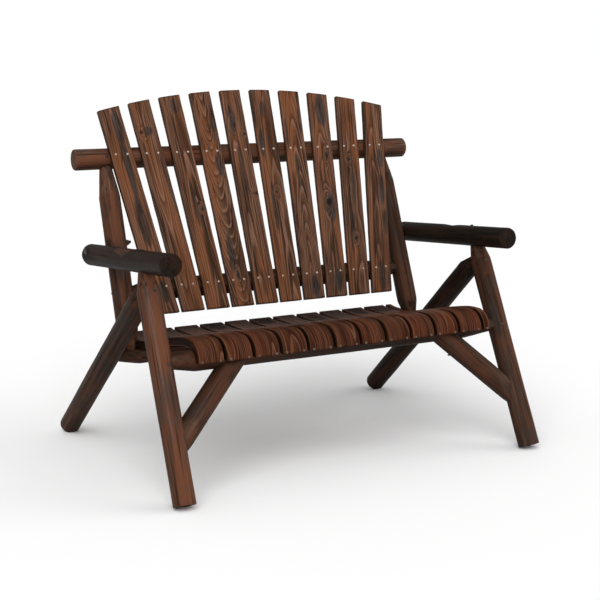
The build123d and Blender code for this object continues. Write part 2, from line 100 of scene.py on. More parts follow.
BACK_SLATS = 10
BACK_SLAT_THICK = 0.013
BACK_SLAT_TOP_W = 0.063
BACK_SLAT_BOTTOM_W = 0.067
BACK_SLAT_EDGE = 0.0012
BACK_PITCH_BOTTOM = 0.0771
BACK_FAN = 0.0315
BACK_BOTTOM = -0.452
BACK_APEX = 0.180
BACK_ARC_R = 1.955

SEAT_SLATS = 11
SEAT_SLAT_W = 0.0696
SEAT_PITCH = 0.0792
SEAT_FIRST_X = -0.4028
SEAT_THICK = 0.022
SEAT_SLAT_EDGE = 0.0022
BATTEN_EDGE = 0.0015
SEAT_ROLL_R = 0.0515
SEAT_FRONT_END_Z = 0.328
SEAT_TOP_KNOTS = [(-0.204, 0.3803), (-0.115, 0.3635), (-0.025, 0.343), (0.045, 0.3248),
                  (0.105, 0.3178), (0.166, 0.3168), (0.203, 0.3205)]
SEAT_REAR_SLOPE = 0.13

# ---------------------------------------------------------------- how fine the meshes are
LOG_SEGMENTS = 56
LOG_STEP = 0.007
BOARD_STEP = 0.004
CORNER_STEPS = 3
ROLL_STEPS = 24              # round the seat's rolled front edge
KNOT_STEPS = 10              # between two points of the seat's curve
SHARP_ANGLE = math.radians(50)

# ---------------------------------------------------------------- how uneven and how burnt the wood is
LOG_WAVE = 0.0009            # slow and quick changes of a log's radius
LOG_RIPPLE = 0.0004
PRISM_FULLNESS = 1.015       # a hewn end's radius against a round one's
AXE_RUN = 0.008              # how soon a hewn taper is cut all round, and how deep it is there
AXE_CUT = 0.0015
TENON_LENGTH = 0.012
UNDERSIDE_PAINTED_SHADE = 0.4         # painted shade: how much darker a log is drawn underneath, where less light falls
REAR_SIDE_PAINTED_SHADE = 0.35        # and painted shade on the side facing the rear, away from the sitter
BOARD_CUP = 0.0004           # how far a board's face is from flat
EDGE_WEAR = 0.0006
KNOT_LIFT = 0.012            # how far the rings bend round a knot
KNOT_DARK = 0.85
KNOT_HALO = 0.55             # char round a knot
STREAK_CHAR = 0.62
# painted shade on a board's side faces, which also darkens the gaps between boards
SIDE_FACE_PAINTED_SHADE = 0.78
RIM = 0.004                  # darkened length at a board's ends
BACK_END_DARK = 0.6
SEAT_END_DARK = 0.85


def placed(point, side=1):
    """A CAD point on the right (side 1) or left (side -1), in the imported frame."""
    x, y, z = point
    return Vector((side * x, y, z)) + SHIFT


def blend(a, b, t):
    return a + (b - a) * t


def smooth(low, high, value):
    """0 below low, 1 above high and an eased step between."""
    t = min(1.0, max(0.0, (value - low) / (high - low)))
    return t * t * (3 - 2 * t)


def bell(offset, width):
    """1 at no offset, falling away over the width."""
    return math.exp(-((offset / width) ** 2))


# ---------------------------------------------------------------- meshes
def skin(name, rings, grain, tone, material, replaced):
    """A closed mesh over rings of points, ridden on the bench.

    grain holds each point's place in the tree (along, across, deep) and tone its (char, knot, dark), where
    dark is partly darker wood and partly painted shade.
    """
    count = len(rings[0])
    faces = []
    for row in range(len(rings) - 1):
        for place in range(count):
            after = (place + 1) % count
            faces.append((row * count + place, (row + 1) * count + place,
                          (row + 1) * count + after, row * count + after))
    faces.append(tuple(range(count)))
    faces.append(tuple(reversed(range((len(rings) - 1) * count, len(rings) * count))))
    mesh = bpy.data.meshes.new(name)
    mesh.from_pydata([point for ring in rings for point in ring], [], faces)
    for key, values in (("grain", grain), ("tone", tone)):
        layer = mesh.attributes.new(key, "FLOAT_VECTOR", "POINT")
        layer.data.foreach_set("vector", [number for value in values for number in value])
    mesh.materials.append(material)
    mesh.shade_smooth()
    mesh.set_sharp_from_angle(angle=SHARP_ANGLE)
    piece = bpy.data.objects.new(name, mesh)
    scene.collection.objects.link(piece)
    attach(piece, "root")
    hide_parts(replaced)
    return piece


def hewn_radius(radius, angle, facets, turn):
    """The radius of a many-sided prism about as thick as a round log of that radius."""
    wedge = 2 * math.pi / facets
    off = (angle + turn) % wedge - wedge / 2
    return PRISM_FULLNESS * radius * math.cos(wedge / 2) / math.cos(off)


def stations_between(stations, step):
    """The stations with more of them between, as (along, radius, hewn)."""
    rows = []
    for first, second in zip(stations, stations[1:]):
        gap = second[0] - first[0]
        pieces = max(1, round(gap / step))
        for index in range(pieces):
            t = index / pieces
            rows.append(tuple(blend(a, b, t) for a, b in zip(first, second)))
    rows.append(stations[-1])
    return rows


def square_end(radius):
    """A sawn log end with a worn edge."""
    return [(0.0, radius - 0.0028, 0), (0.0005, radius - 0.0014, 0), (0.0014, radius - 0.0005, 0),
            (0.003, radius, 0)]


def tapered_end(shoulder, taper, neck):
    """A leg's upper end, hewn down over the taper to a tenon at the shoulder."""
    return [(shoulder - taper, LOG_R, 0), (shoulder - taper + AXE_RUN, LOG_R - AXE_CUT, 1),
            (shoulder, neck, 1), (shoulder + TENON_LENGTH, TENON_R, 1)]


def both_ends(stations, length):
    return stations + [(length - along, radius, hewn) for along, radius, hewn in reversed(stations)]


def log(name, start, end, stations, material, seed, trim=None, dark=0.0, char=0.35):
    """A peeled log: nearly round, a little wavy, with flat facets where its ends were hewn.

    stations are (distance from start, radius, how far hewn from 0 to 1). trim(point, distance) moves a
    surface point where wood is cut away. dark and char say how dark and how streaked the log is.
    """
    axis = (end - start).normalized()
    across = axis.cross(Vector((0, 0, 1)) if abs(axis.z) < 0.8 else Vector((0, 1, 0))).normalized()
    up = across.cross(axis)
    facets = 8 + seed % 3
    rings, grain, tone = [], [], []
    rows = stations_between(stations, LOG_STEP)
    for along, radius, hewn in rows:
        ring = []
        for place in range(LOG_SEGMENTS):
            angle = 2 * math.pi * place / LOG_SEGMENTS
            c, s = math.cos(angle), math.sin(angle)
            wave = noise.noise(Vector((along * 5, c * 0.7, s * 0.7 + seed * 7.3)))
            ripple = noise.noise(Vector((along * 14, c * 2.2, s * 2.2 + seed * 3.1)))
            local = radius + LOG_WAVE * wave + LOG_RIPPLE * ripple
            if hewn > 0:
                wander = 0.25 * noise.noise(Vector((along * 9, seed * 1.7, 0.0)))
                flat = hewn_radius(radius, angle, facets, wander)
                local = blend(local, flat, hewn)
            outward = across * c + up * s
            point = start + axis * along + outward * local
            trimmed = trim(point, along) if trim else point
            fresh = smooth(0.0002, 0.0015, (trimmed - point).length)
            ring.append(trimmed)
            grain.append((along + seed * 3.7, local * c, local * s + 0.004 * math.sin(seed)))
            burnt = 0.5 + 0.5 * noise.noise(Vector((along * 3, c * 0.9, s * 0.9 + seed * 11.1)))
            # painted shade: darker underneath and on the side facing the rear
            underside_shade = UNDERSIDE_PAINTED_SHADE * smooth(0.2, -0.9, outward.z)
            rear_side_shade = REAR_SIDE_PAINTED_SHADE * smooth(-0.95, 0.0, outward.y)
            shade = min(0.95, dark + max(underside_shade, rear_side_shade)) * (1 - 0.45 * fresh)
            tone.append((char * smooth(0.3, 0.8, burnt) * (1 - 0.8 * fresh), 0.0, shade))
        rings.append(ring)
    return skin(name + "_log", rings, grain, tone, material, name)


# ---------------------------------------------------------------- materials
class Nodes:
    """Short ways to add shader nodes to one material."""

    def __init__(self, name):
        self.material = bpy.data.materials.new(name)
        self.material.use_nodes = True
        self.tree = self.material.node_tree
        self.shader = self.tree.nodes["Principled BSDF"]

    def add(self, kind, settings=None, **inputs):
        node = self.tree.nodes.new(kind)
        for key, value in (settings or {}).items():
            setattr(node, key, value)
        for key, value in inputs.items():
            self.feed(node.inputs[int(key[1:])] if key[0] == "i" and key[1:].isdigit()
                      else node.inputs[key.replace("_", " ")], value)
        return node

    def feed(self, socket, value):
        if isinstance(value, bpy.types.NodeSocket):
            self.tree.links.new(value, socket)
        else:
            socket.default_value = value

    def math(self, operation, a, b=0.0):
        node = self.add("ShaderNodeMath", {"operation": operation}, i0=a, i1=b)
        return node.outputs[0]

    def scaled(self, vector, along, across):
        node = self.add("ShaderNodeVectorMath", {"operation": "MULTIPLY"}, i0=vector,
                        i1=(along, across, across))
        return node.outputs[0]

    def noise(self, vector, detail=3.0, roughness=0.55, distortion=0.0):
        node = self.add("ShaderNodeTexNoise", None, Vector=vector, Scale=1.0, Detail=detail,
                        Roughness=roughness, Distortion=distortion)
        return node.outputs["Fac"]

    def step(self, value, low, high, to_low=0.0, to_high=1.0):
        node = self.add("ShaderNodeMapRange", {"interpolation_type": "SMOOTHSTEP"}, i0=value, i1=low,
                        i2=high, i3=to_low, i4=to_high)
        return node.outputs[0]

    def mix(self, factor, a, b):
        node = self.add("ShaderNodeMix", {"data_type": "RGBA"})
        self.feed(node.inputs[0], factor)
        self.feed(node.inputs[6], a)
        self.feed(node.inputs[7], b)
        return node.outputs[2]

    def ramp(self, value, stops):
        node = self.add("ShaderNodeValToRGB", None, Fac=value)
        elements = node.color_ramp.elements
        while len(elements) < len(stops):
            elements.new(0.5)
        for element, (at, colour) in zip(elements, stops):
            element.position = at
            element.color = colour
        return node.outputs[0]


# noise cells per metre, along and across the grain
FIBRE = (9.0, 300.0)
STREAK = (2.6, 60.0)
BAND = (1.7, 22.0)
PATCH = (5.0, 26.0)
WOBBLE = (5.0, 16.0)
SOOT = (4.0, 150.0)
CLOUD = (9.0, 24.0)
RING_WOBBLE = 0.010          # how far growth rings stray from circles
WOOD_BUMP = 0.0007
METAL_SPOTS = (260.0, 260.0)
METAL_BUMP = 0.0003


def opaque(colour):
    return (*colour, 1.0)


def burnt_wood(name, palette, ring_width=0.0034, line=0.8, blotch=0.0, sheen=0.05):
    """Softwood burnt and brushed: fibres, growth rings, charred streaks and knots, under satin lacquer.

    palette names the colours dark, mid, light, warm, pale, char and black. line is the strength of the
    growth rings and blotch that of the clouds of char and warm colour.
    """
    dark, mid, light, warm, pale, charred, black = (
        opaque(palette[key]) for key in ("dark", "mid", "light", "warm", "pale", "char", "black"))
    n = Nodes(name)
    grain = n.add("ShaderNodeAttribute", {"attribute_name": "grain"}).outputs["Vector"]
    tone = n.add("ShaderNodeAttribute", {"attribute_name": "tone"}).outputs["Vector"]
    char_tone, knot_tone, dark_and_shade_tone = n.add("ShaderNodeSeparateXYZ", None, i0=tone).outputs[:3]

    fibre = n.noise(n.scaled(grain, *FIBRE), 4.0, 0.6)
    streak = n.noise(n.scaled(grain, *STREAK), 3.0, 0.55)
    band = n.noise(n.scaled(grain, *BAND), 2.0, 0.5, 0.6)
    patch = n.noise(n.scaled(grain, *PATCH), 3.0, 0.6)

    wobble = n.math("MULTIPLY", n.noise(n.scaled(grain, *WOBBLE), 2.0, 0.5), RING_WOBBLE)
    from_pith = n.add("ShaderNodeVectorMath", {"operation": "LENGTH"},
                      i0=n.scaled(grain, 0.0, 1.0)).outputs["Value"]
    ring = n.math("FRACT", n.math("MULTIPLY", n.math("ADD", from_pith, wobble), 1.0 / ring_width))
    late = n.step(ring, 0.55, 0.93)
    late = n.math("MULTIPLY", late, n.step(ring, 1.0, 0.93))

    body = n.math("ADD", n.math("MULTIPLY", fibre, 0.45), n.math("MULTIPLY", streak, 0.55))
    colour = n.ramp(body, [(0.38, dark), (0.5, mid), (0.62, light)])
    colour = n.mix(n.step(band, 0.47, 0.62, 0.0, 0.8), colour, warm)
    line_mask = n.math("MULTIPLY", late, n.step(patch, 0.38, 0.58, 0.1, 0.75 * line))
    colour = n.mix(line_mask, colour, pale)
    soot = n.noise(n.scaled(grain, *SOOT), 2.0, 0.5)
    colour = n.mix(n.step(soot, 0.56, 0.68, 0.0, 0.7), colour, black)
    early = n.math("MULTIPLY", n.step(ring, 0.4, 0.03), n.step(patch, 0.3, 0.7, line, 0.2))
    colour = n.mix(early, colour, dark)

    if blotch:
        cloud = n.noise(n.scaled(grain, *CLOUD), 3.0, 0.55, 0.4)
        colour = n.mix(n.step(cloud, 0.52, 0.66, 0.0, blotch), colour, charred)
        colour = n.mix(n.step(cloud, 0.46, 0.34, 0.0, blotch), colour, warm)

    torn = n.math("MULTIPLY", n.math("SUBTRACT", streak, 0.5), 1.2)
    ragged = n.math("ADD", n.math("SUBTRACT", patch, 0.5), torn)
    burnt = n.step(n.math("ADD", char_tone, ragged), 0.30, 0.70, 0.0, 0.8)
    char = n.mix(n.step(fibre, 0.35, 0.65), black, charred)
    colour = n.mix(burnt, colour, char)
    colour = n.mix(knot_tone, colour, black)
    # towards black where the wood is darker and where shade is painted: under logs, on their rear sides and
    # on board side faces
    colour = n.mix(dark_and_shade_tone, colour, black)

    height = n.math("ADD", n.math("MULTIPLY", late, 0.6), n.math("MULTIPLY", fibre, 0.55))
    bump = n.add("ShaderNodeBump", None, Strength=0.55, Distance=WOOD_BUMP, Height=height)
    rough = n.step(n.math("ADD", fibre, n.math("MULTIPLY", burnt, 0.25)), 0.3, 0.9, 0.42, 0.66)
    n.feed(n.shader.inputs["Base Color"], colour)
    n.feed(n.shader.inputs["Roughness"], rough)
    n.feed(n.shader.inputs["Normal"], bump.outputs[0])
    n.shader.inputs["Specular IOR Level"].default_value = sheen
    return n.material


def worn_metal(name, bright, dull):
    """Zinc-coated steel with dull and rusty spots."""
    n = Nodes(name)
    place = n.add("ShaderNodeTexCoord").outputs["Object"]
    spots = n.noise(n.scaled(place, *METAL_SPOTS), 3.0, 0.6)
    colour = n.mix(n.step(spots, 0.45, 0.7), opaque(bright), opaque(dull))
    n.feed(n.shader.inputs["Base Color"], colour)
    n.feed(n.shader.inputs["Roughness"], n.step(spots, 0.35, 0.7, 0.38, 0.62))
    bump = n.add("ShaderNodeBump", None, Strength=0.3, Distance=METAL_BUMP, Height=spots)
    n.feed(n.shader.inputs["Normal"], bump.outputs[0])
    n.shader.inputs["Metallic"].default_value = 0.55
    return n.material


SLAT_COLOURS = dict(dark=(0.030, 0.013, 0.007), mid=(0.076, 0.034, 0.018), light=(0.155, 0.074, 0.042),
                    warm=(0.180, 0.064, 0.025), pale=(0.270, 0.142, 0.096), char=(0.048, 0.044, 0.042),
                    black=(0.007, 0.005, 0.004))
SEAT_COLOURS = dict(dark=(0.022, 0.007, 0.004), mid=(0.052, 0.018, 0.008), light=(0.092, 0.034, 0.016),
                    warm=(0.084, 0.024, 0.010), pale=(0.175, 0.078, 0.048), char=(0.018, 0.011, 0.008),
                    black=(0.006, 0.004, 0.003))
LOG_COLOURS = dict(dark=(0.026, 0.012, 0.006), mid=(0.075, 0.036, 0.022), light=(0.150, 0.083, 0.057),
                   warm=(0.138, 0.050, 0.026), pale=(0.195, 0.106, 0.076), char=(0.052, 0.042, 0.037),
                   black=(0.006, 0.005, 0.004))

back_wood = burnt_wood("back_slat_wood", SLAT_COLOURS)
seat_wood = burnt_wood("seat_slat_wood", SEAT_COLOURS, ring_width=0.0042, line=0.85, sheen=0.015)
log_wood = burnt_wood("log_wood", LOG_COLOURS, ring_width=0.0090, line=0.12, blotch=0.6, sheen=0.03)
METALS = {"back_nails": worn_metal("back_nail_metal", (0.46, 0.37, 0.31), (0.26, 0.17, 0.12)),
          "seat_nails": worn_metal("seat_nail_metal", (0.12, 0.075, 0.055), (0.06, 0.035, 0.025)),
          "screws": worn_metal("screw_metal", (0.045, 0.032, 0.027), (0.025, 0.016, 0.013)),
          "armrest_bolts": worn_metal("bolt_metal", (0.050, 0.042, 0.036), (0.025, 0.018, 0.015))}
METALS["washers"] = METALS["nuts"] = METALS["armrest_bolts"]

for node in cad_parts.values():
    for word, metal in METALS.items():
        if word in node.name:
            for metal_slot in node.material_slots:
                metal_slot.material = metal

# ---------------------------------------------------------------- logs
post_axis = (placed(POST_TOP) - placed(POST_FOOT)).normalized()
LEAN = math.atan2(post_axis.y, post_axis.z)
UP_BACK = Vector((0, math.sin(LEAN), math.cos(LEAN)))
OUT_OF_BACK = Vector((0, -math.cos(LEAN), math.sin(LEAN)))


def back_point(x, up, out):
    """A point x across, up along the back from the upper rail's axis and out towards the sitter."""
    return Vector((x, POST_TOP[1], POST_TOP[2])) + SHIFT + UP_BACK * up + OUT_OF_BACK * out


def on_ground(point, along):
    return Vector((point.x, point.y, max(point.z, 0.0)))


def planed_top(point, along):
    """Flat where the seat slats lie on the rear rail."""
    inner, outer = REAR_RAIL_FLAT_HALF
    over = smooth(outer, inner, abs(point.x))
    level = REAR_RAIL_FLAT_Z + SHIFT.z
    return Vector((point.x, point.y, blend(point.z, min(point.z, level), over)))


def hewn_brace(start, end):
    """Flat on the front of its foot, and flat under the rolled front ends of the seat slats."""
    axis = (end - start).normalized()
    facing = (BRACE_FLAT_FACING - axis * BRACE_FLAT_FACING.dot(axis)).normalized()

    def trim(point, along):
        limit = blend(BRACE_FLAT[1], LOG_R, along / BRACE_FLAT[0])
        over = (point - start).dot(facing) - limit
        if along < BRACE_FLAT[0] and over > 0:
            point = point - facing * over
        return Vector((point.x, point.y, min(point.z, BRACE_TOP_Z + SHIFT.z)))

    return trim


def notched(start, end, side):
    """Cuts the hewn notch into an armrest's top, towards its outer side."""
    along_arm = (end - start).normalized()
    level = Vector((side, 0, 0)) - along_arm * along_arm.x * side
    level.normalize()
    up = level.cross(along_arm) * side
    towards = up * math.cos(NOTCH_TILT) + level * math.sin(NOTCH_TILT)

    def trim(point, along):
        if not NOTCH[0] < along < NOTCH[2]:
            return point
        if along < NOTCH[1]:
            depth = NOTCH_DEPTH * (along - NOTCH[0]) / (NOTCH[1] - NOTCH[0])
        else:
            depth = NOTCH_DEPTH * (NOTCH[2] - along) / (NOTCH[2] - NOTCH[1])
        over = (point - start).dot(towards) - (LOG_R - depth)
        return point - towards * over if over > 0 else point

    return trim


# the right legs and post are given a darker tone than the left ones, and the right front leg more char
for side, name, seed in ((-1, "left", 1), (1, "right", 5)):
    foot, top = placed(FRONT_FOOT, side), placed(FRONT_LEG_TOP, side)
    shoulder = (top - foot).length - LOG_R
    log(f"front_leg_{name}", foot, top,
        square_end(LOG_R) + tapered_end(shoulder, 0.048, NECK_R + 0.001),
        log_wood, seed, trim=on_ground, dark=0.0 if side < 0 else 0.3, char=0.30 if side < 0 else 0.5)

    foot, top = placed(REAR_FOOT, side), placed(REAR_LEG_TOP, side)
    shoulder = (top - foot).length - LOG_R + 0.004
    log(f"rear_leg_{name}", foot, top,
        square_end(LOG_R) + tapered_end(shoulder, 0.042, NECK_R - 0.001),
        log_wood, seed + 1, trim=on_ground, dark=0.25 if side < 0 else 0.5, char=0.4)

    start, end = placed(ARM_FRONT, side), placed(ARM_REAR, side)
    log(f"armrest_{name}", start, end, both_ends(square_end(LOG_R), (end - start).length),
        log_wood, seed + 2, trim=notched(start, end, side), dark=0.5, char=0.75)

    foot, top = placed(POST_FOOT, side), placed(POST_TOP, side)
    length = (top - foot).length
    low, high = 0.030, length - LOG_R
    log(f"back_post_{name}", foot, top,
        [(0.012, NECK_R - 0.004, 1), (low, NECK_R - 0.001, 1), (low + 0.044, LOG_R - 0.001, 1),
         (low + 0.052, LOG_R, 0), (high - 0.080, LOG_R, 0), (high - 0.070, LOG_R - 0.001, 1),
         (high, NECK_R, 1), (high + 0.014, TENON_R, 1)],
        log_wood, seed + 3, dark=0.0 if side < 0 else 0.38, char=0.35)

    foot, top = placed(BRACE_FOOT, side), placed(BRACE_HEAD, side)
    length = (top - foot).length
    log(f"seat_brace_{name}", foot, top,
        [(0.003, LOG_R - 0.0025, 0), (0.030, LOG_R, 0), (length, LOG_R, 0)], log_wood, seed + 9,
        trim=hewn_brace(foot, top), dark=0.38, char=0.2)


def cross_log(name, half, y, z, stations, seed, **look):
    """A log across the bench; its stations count from the left end."""
    log(name, Vector((-half, y, z)) + SHIFT, Vector((half, y, z)) + SHIFT, stations, log_wood, seed, **look)


cross_log("upper_back_rail", RAIL_HALF, POST_TOP[1], POST_TOP[2],
          both_ends(square_end(LOG_R), 2 * RAIL_HALF), 21, char=0.2)

lower_axis = back_point(0, -LOWER_RAIL_DROP, 0) - SHIFT
cross_log("lower_back_rail", LOWER_RAIL_HALF, lower_axis.y, lower_axis.z,
          both_ends([(0.012, TENON_R, 1), (LOWER_RAIL_HALF - 0.428, NECK_R - 0.002, 1),
                     (LOWER_RAIL_HALF - 0.383, LOG_R - 0.001, 1), (LOWER_RAIL_HALF - 0.374, LOG_R, 0)],
                    2 * LOWER_RAIL_HALF), 22, dark=0.45, char=0.4)

end = SEAT_RAIL_HALF
cross_log("front_seat_rail", end, *FRONT_RAIL_YZ,
          [(0.015, TENON_R, 1), (end - 0.490, NECK_R, 1), (end - 0.434, LOG_R - 0.001, 1),
           (end - 0.424, LOG_R, 0), (end + 0.386, LOG_R, 0), (end + 0.398, LOG_R - 0.001, 1),
           (end + 0.490, NECK_R, 1), (2 * end - 0.015, TENON_R, 1)], 23, dark=0.4, char=0.3)
cross_log("rear_seat_rail", end, *REAR_RAIL_YZ,
          both_ends([(0.015, TENON_R, 1), (end - 0.492, NECK_R - 0.001, 1),
                     (end - 0.442, REAR_RAIL_R - 0.001, 1), (end - 0.432, REAR_RAIL_R, 0)], 2 * end),
          24, trim=planed_top, dark=0.3, char=0.4)


# ---------------------------------------------------------------- boards
def section(width, thick, radius, inset, steps):
    """A board's cross-section as (across, deep) points round a rounded rectangle, top face first."""
    half = width / 2 - inset
    top, bottom = inset, thick - inset
    radius = max(0.0002, radius - inset)
    flat = [-half + radius + (2 * half - 2 * radius) * index / steps for index in range(steps + 1)]
    quarter = [math.pi / 2 * index / (CORNER_STEPS + 1) for index in range(1, CORNER_STEPS + 1)]
    points = [(x, top) for x in flat]
    side, upper, lower = half - radius, top + radius, bottom - radius
    middle = (top + bottom) / 2
    points += [(side + radius * math.sin(a), upper - radius * math.cos(a)) for a in quarter]
    points += [(half, upper), (half, middle), (half, lower)]
    points += [(side + radius * math.cos(a), lower + radius * math.sin(a)) for a in quarter]
    points += [(x, bottom) for x in reversed(flat)]
    points += [(-side - radius * math.sin(a), lower + radius * math.cos(a)) for a in quarter]
    points += [(-half, lower), (-half, middle), (-half, upper)]
    points += [(-side - radius * math.cos(a), upper - radius * math.sin(a)) for a in quarter]
    return points


def marked(marks, along, across, length, width):
    """The (char, knot, lift of the rings) that a board's marks make at a point."""
    char, knot, lift = 0.0, 0.0, 0.0
    for kind, at, aside, long, wide in marks:
        off_along, off_across = along - at * length, across - aside * width / 2
        near = bell(off_along, long) * bell(off_across, wide)
        if kind == "knot":
            core = bell(off_along, long * 0.42) * bell(off_across, wide * 0.5)
            lift += KNOT_LIFT * near
            knot = max(knot, KNOT_DARK * smooth(0.35, 0.8, core))
            char = max(char, KNOT_HALO * near)
        else:
            char = max(char, STREAK_CHAR * smooth(0.15, 0.75, near))
    return char, knot, lift


def board(node, length, width_at, thick, edge, place, pith, marks, material, seed, end_dark):
    """A board along its own length. place(along, across, deep) gives a point in the bench's frame.

    pith is (across, deep, rise per metre) of the tree's heart as the board passes it, and marks are
    (kind, along, across, length, width) with kind "knot" or "char"; across runs from -1 to 1.
    """
    rows = [(0.0, edge), (edge * 0.3, edge * 0.3), (edge, 0.0)]
    count = max(2, round((length - 2 * edge) / BOARD_STEP))
    rows += [(edge + (length - 2 * edge) * index / count, 0.0) for index in range(1, count)]
    rows += [(length - edge, 0.0), (length - edge * 0.3, edge * 0.3), (length, edge)]
    steps = max(2, round(width_at(0.0) / BOARD_STEP))
    rings, grain, tone = [], [], []
    for along, inset in rows:
        width = width_at(along / length)
        ring = []
        for across, deep in section(width, thick, edge, inset, steps):
            share = 2 * across / width
            cup = BOARD_CUP * noise.noise(Vector((along * 6, share, seed * 5.1)))
            wear = EDGE_WEAR * noise.noise(Vector((along * 30, deep * 60, seed * 2.3))) * abs(share) ** 6
            worn_across = across - wear * math.copysign(1, across)
            ring.append(place(along, worn_across, deep + cup * (1 - deep / thick)))
            char, knot, lift = marked(marks, along, across, length, width)
            grain.append((along + seed * 2.9, across - pith[0],
                          deep + pith[1] + pith[2] * along - lift))
            # painted shade: the board's side faces drawn darker
            side_face_shade = smooth(0.0, 0.002, deep) * smooth(thick, thick - 0.002, deep)
            side_face_shade *= smooth(0.985, 1.0, abs(share))
            rim = max(smooth(RIM, 0.0, along), smooth(length - RIM, length, along))
            tone.append((char, knot, max(SIDE_FACE_PAINTED_SHADE * side_face_shade, end_dark * rim)))
        rings.append(ring)
    return skin(node + "_board", rings, grain, tone, material, node)


def slat_middle_x(index, up):
    place = index - (BACK_SLATS - 1) / 2
    return place * (BACK_PITCH_BOTTOM + BACK_FAN * (up - BACK_BOTTOM))


def arc_height(x):
    return BACK_APEX - BACK_ARC_R + math.sqrt(BACK_ARC_R**2 - x**2)


def back_slat_place(index):
    """How back slat index maps its own length, width and depth on to the back."""
    top_middle = slat_middle_x(index, arc_height(slat_middle_x(index, BACK_APEX)))
    low_middle = slat_middle_x(index, BACK_BOTTOM)
    length = arc_height(top_middle) - BACK_BOTTOM

    def place(along, across, deep):
        t = along / length
        middle = blend(low_middle, top_middle, t)
        top_cut = arc_height(top_middle + across) - arc_height(top_middle)
        up = BACK_BOTTOM + along + top_cut * t
        return back_point(middle + across, up, LOG_R + BACK_SLAT_THICK - deep)

    return place, length


# knots and charred streaks: (kind, along, across, length, width) for each back slat
BACK_MARKS = [
    [("char", 0.90, 0.3, 0.060, 0.016), ("char", 0.70, 0.25, 0.100, 0.013),
     ("char", 0.45, 0.1, 0.090, 0.017), ("char", 0.10, 0.1, 0.040, 0.016)],
    [("knot", 0.855, -0.55, 0.018, 0.009), ("char", 0.855, 0.0, 0.016, 0.020),
     ("char", 0.55, 0.9, 0.080, 0.008)],
    [("char", 0.95, 0.4, 0.030, 0.020), ("knot", 0.46, 0.6, 0.014, 0.010),
     ("char", 0.48, 0.0, 0.090, 0.010)],
    [("char", 0.84, 0.65, 0.030, 0.010), ("char", 0.66, 0.5, 0.045, 0.014),
     ("char", 0.24, -0.2, 0.060, 0.010), ("knot", 0.14, 0.05, 0.022, 0.009),
     ("char", 0.80, -0.2, 0.080, 0.006)],
    [("knot", 0.835, -0.2, 0.018, 0.008), ("knot", 0.79, 0.7, 0.010, 0.010),
     ("char", 0.86, -0.3, 0.060, 0.012), ("char", 0.62, -0.1, 0.110, 0.010),
     ("knot", 0.51, 0.8, 0.010, 0.012), ("char", 0.10, 0.1, 0.060, 0.014)],
    [("char", 0.90, 0.1, 0.040, 0.014), ("char", 0.75, -0.6, 0.050, 0.012),
     ("knot", 0.51, 0.15, 0.014, 0.009), ("char", 0.45, -0.2, 0.090, 0.010)],
    [("char", 0.80, -0.7, 0.060, 0.008), ("char", 0.62, -0.1, 0.070, 0.006),
     ("char", 0.06, 0.2, 0.040, 0.018)],
    [("char", 0.92, 0.1, 0.060, 0.022), ("knot", 0.69, 0.35, 0.030, 0.008),
     ("knot", 0.46, 0.1, 0.034, 0.024), ("char", 0.43, 0.3, 0.055, 0.020),
     ("char", 0.08, 0.2, 0.040, 0.022)],
    [("knot", 0.68, -0.15, 0.014, 0.010), ("char", 0.56, 0.2, 0.090, 0.009),
     ("knot", 0.28, 0.0, 0.016, 0.009), ("char", 0.38, -0.2, 0.060, 0.010)],
    [("char", 0.70, 0.5, 0.035, 0.012), ("char", 0.54, 0.5, 0.060, 0.011),
     ("char", 0.36, 0.7, 0.050, 0.012), ("char", 0.08, 0.1, 0.060, 0.030)],
]
# where the tree's heart runs behind each back slat: (across, deep, rise per metre)
BACK_PITHS = [(0.006, 0.034, 0.020), (-0.004, 0.030, -0.026), (0.010, 0.040, 0.018), (0.001, 0.075, -0.095),
              (-0.012, 0.036, 0.022), (0.014, 0.046, 0.016), (0.000, 0.010, 0.055), (-0.003, 0.022, 0.034),
              (0.008, 0.055, 0.012), (-0.006, 0.028, 0.028)]

for index in range(BACK_SLATS):
    place, length = back_slat_place(index)
    board(f"back_slat_{index + 1:02d}", length, lambda t: blend(BACK_SLAT_BOTTOM_W, BACK_SLAT_TOP_W, t),
          BACK_SLAT_THICK, BACK_SLAT_EDGE, place, BACK_PITHS[index], BACK_MARKS[index], back_wood,
          31 + index, BACK_END_DARK)


# ---------------------------------------------------------------- seat
def seat_path():
    """Points down the middle of a seat slat's top, front end first, as (y, z, inward y, inward z)."""
    axis_y, axis_z = FRONT_RAIL_YZ
    path = [(axis_y - SEAT_ROLL_R, SEAT_FRONT_END_Z, 1.0, 0.0)]
    for index in range(ROLL_STEPS + 1):
        angle = math.pi / 2 * index / ROLL_STEPS
        c, s = math.cos(angle), math.sin(angle)
        path.append((axis_y - SEAT_ROLL_R * c, axis_z + SEAT_ROLL_R * s, c, -s))
    knots = [(axis_y, axis_z + SEAT_ROLL_R)] + SEAT_TOP_KNOTS
    slopes = [0.0]
    for before, after in zip(knots, knots[2:]):
        slopes.append((after[1] - before[1]) / (after[0] - before[0]))
    slopes.append(SEAT_REAR_SLOPE)
    for index in range(len(knots) - 1):
        (y0, z0), (y1, z1) = knots[index], knots[index + 1]
        span = y1 - y0
        for step in range(1, KNOT_STEPS + 1):
            t = step / KNOT_STEPS
            z = ((2 * t**3 - 3 * t**2 + 1) * z0 + (t**3 - 2 * t**2 + t) * span * slopes[index]
                 + (3 * t**2 - 2 * t**3) * z1 + (t**3 - t**2) * span * slopes[index + 1])
            path.append((y0 + span * t, z, 0.0, -1.0))
    return path


SEAT_PATH = seat_path()
SEAT_ALONG = [0.0]
for before, after in zip(SEAT_PATH, SEAT_PATH[1:]):
    SEAT_ALONG.append(SEAT_ALONG[-1] + math.hypot(after[0] - before[0], after[1] - before[1]))


